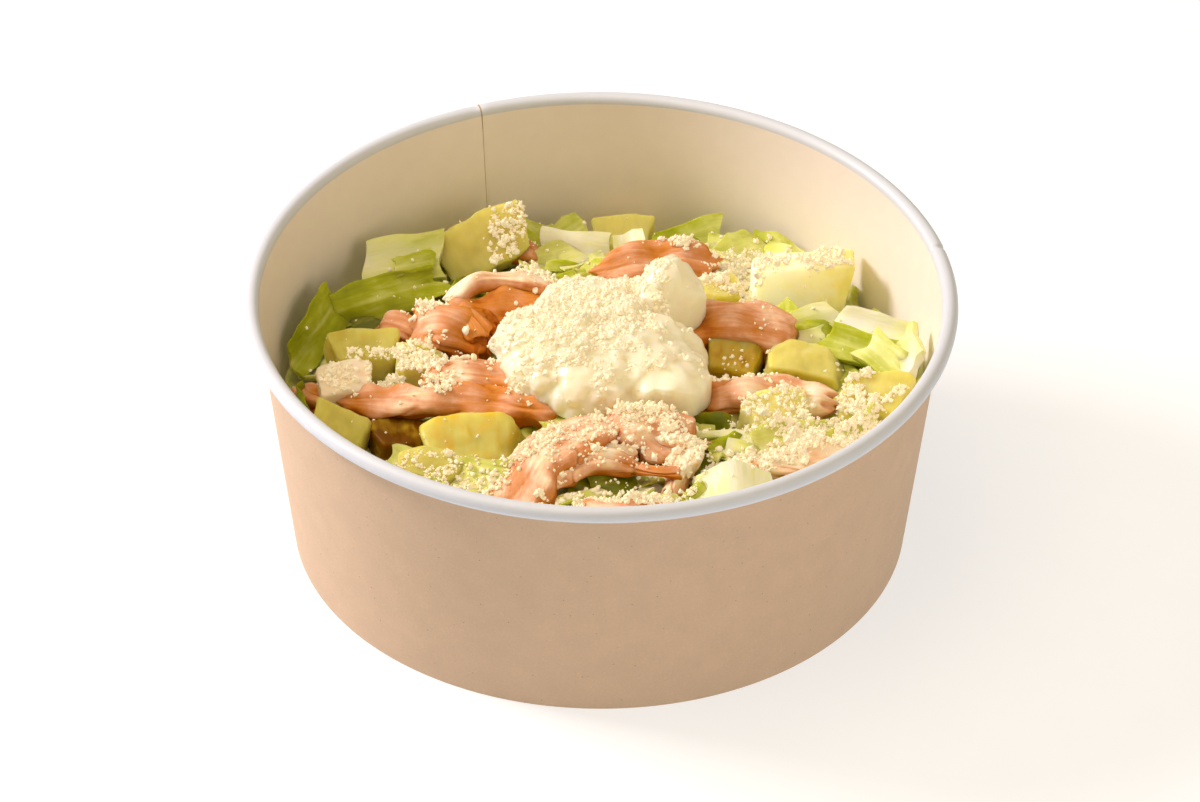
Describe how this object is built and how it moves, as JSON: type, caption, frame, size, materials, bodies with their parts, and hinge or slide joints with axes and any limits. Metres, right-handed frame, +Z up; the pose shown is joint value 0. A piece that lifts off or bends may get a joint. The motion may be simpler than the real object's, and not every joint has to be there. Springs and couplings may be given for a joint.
{
  "type": "chicken and pineapple salad in a paper bowl",
  "caption": "Round kraft paper bowl with a rolled rim, filled with chopped lettuce, pineapple chunks, smoked chicken strips, a dollop of creamy sauce and grated crumbs.",
  "frame": {"origin": "centre of the bowl's foot, on the surface it stands on", "axes": "+Z up out of the bowl's mouth; the side shown in the picture faces -Y"},
  "size_m": [0.15, 0.15, 0.059],
  "materials": {
    "bowl": "uncoated kraft board outside, white coated board on the rim and inside",
    "lettuce": "moist",
    "sauce": "creamy, soft gloss",
    "chicken": "moist, fibrous",
    "pineapple": "wet, translucent",
    "crumbs": "dry, grated"
  },
  "bodies": {
    "root": {"bowl_wall": "bowl", "bowl_base": "bowl", "sauce": "sauce", "chicken_fold_top": "chicken", "chicken_fold_low": "chicken", "chicken_back": "chicken", "chicken_right": "chicken", "chicken_inner": "chicken", "chicken_long": "chicken", "chicken_arch_left": "chicken", "chicken_arch_right": "chicken", "chicken_arch_lip": "chicken", "chicken_front_right": "chicken", "chicken_rim": "chicken", "chicken_left_bit": "chicken", "chicken_back_bit": "chicken", "chicken_left_top": "chicken", "chicken_shred": "chicken", "chicken_cube": "chicken", "pineapple_back_left": "pineapple", "pineapple_tall": "pineapple", "pineapple_left": "pineapple", "pineapple_left_front": "pineapple", "pineapple_front": "pineapple", "pineapple_right": "pineapple", "pineapple_shade": "pineapple", "pineapple_rim": "pineapple", "pineapple_back": "pineapple", "pineapple_crumbed": "pineapple", "pineapple_amber": "pineapple", "pineapple_small": "pineapple", "pineapple_inner": "pineapple", "pineapple_front_left": "pineapple", "lettuce_heap": "lettuce"}
  },
  "joints": []
}
